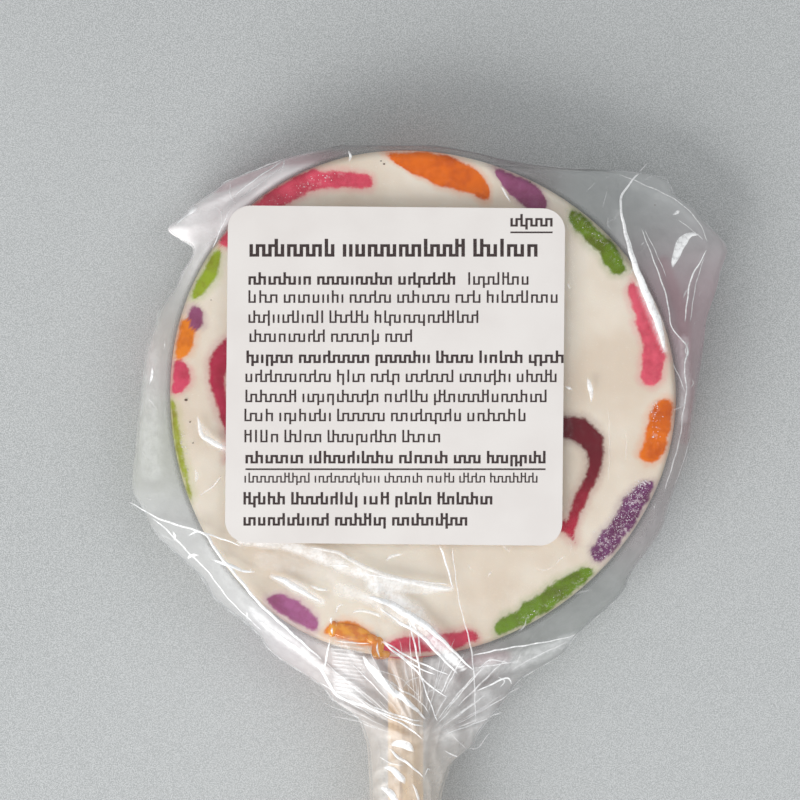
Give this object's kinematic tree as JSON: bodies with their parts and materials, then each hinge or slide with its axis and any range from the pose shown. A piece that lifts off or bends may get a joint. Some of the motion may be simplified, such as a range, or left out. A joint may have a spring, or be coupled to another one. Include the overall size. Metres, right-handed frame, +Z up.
{
  "type": "wrapped rock candy lollipop",
  "caption": "Flat round cream hard-candy lollipop with a ring of coloured dashes, in a clear film bag gathered round a paper stick, with a square white label.",
  "frame": {"origin": "middle of the candy's back, on the surface that the bag rests on", "axes": "+Z up out of the labelled face, +Y away from the stick, so that the stick lies along -Y"},
  "size_m": [0.0675, 0.1575, 0.0088],
  "materials": {
    "candy_cream": "satin hard candy",
    "candy_orange": "satin hard candy",
    "candy_pink": "satin hard candy",
    "candy_green": "satin hard candy",
    "candy_purple": "satin hard candy",
    "candy_crimson": "satin hard candy",
    "stick_paper": "matt rolled paper",
    "label_paper": "satin coated paper",
    "clear_film": "thin clear glossy film"
  },
  "bodies": {
    "root": {"candy_body": "candy_cream", "dash_orange_1": "candy_orange", "dash_pink_1": "candy_pink", "dash_green_1": "candy_green", "dash_purple_1": "candy_purple", "dash_orange_2": "candy_orange", "dash_pink_2": "candy_pink", "dash_green_2": "candy_green", "dash_purple_2": "candy_purple", "dash_orange_3": "candy_orange", "dash_pink_3": "candy_pink", "dash_green_3": "candy_green", "dash_purple_3": "candy_purple", "dash_orange_4": "candy_orange", "dash_pink_4": "candy_pink", "dash_green_4": "candy_green", "dash_purple_4": "candy_purple", "heart_band_1": "candy_crimson", "heart_core_1": "candy_cream", "heart_band_2": "candy_crimson", "heart_core_2": "candy_cream", "heart_band_3": "candy_crimson", "heart_core_3": "candy_cream", "stick": "stick_paper", "film": "clear_film", "label": "label_paper"}
  },
  "joints": []
}
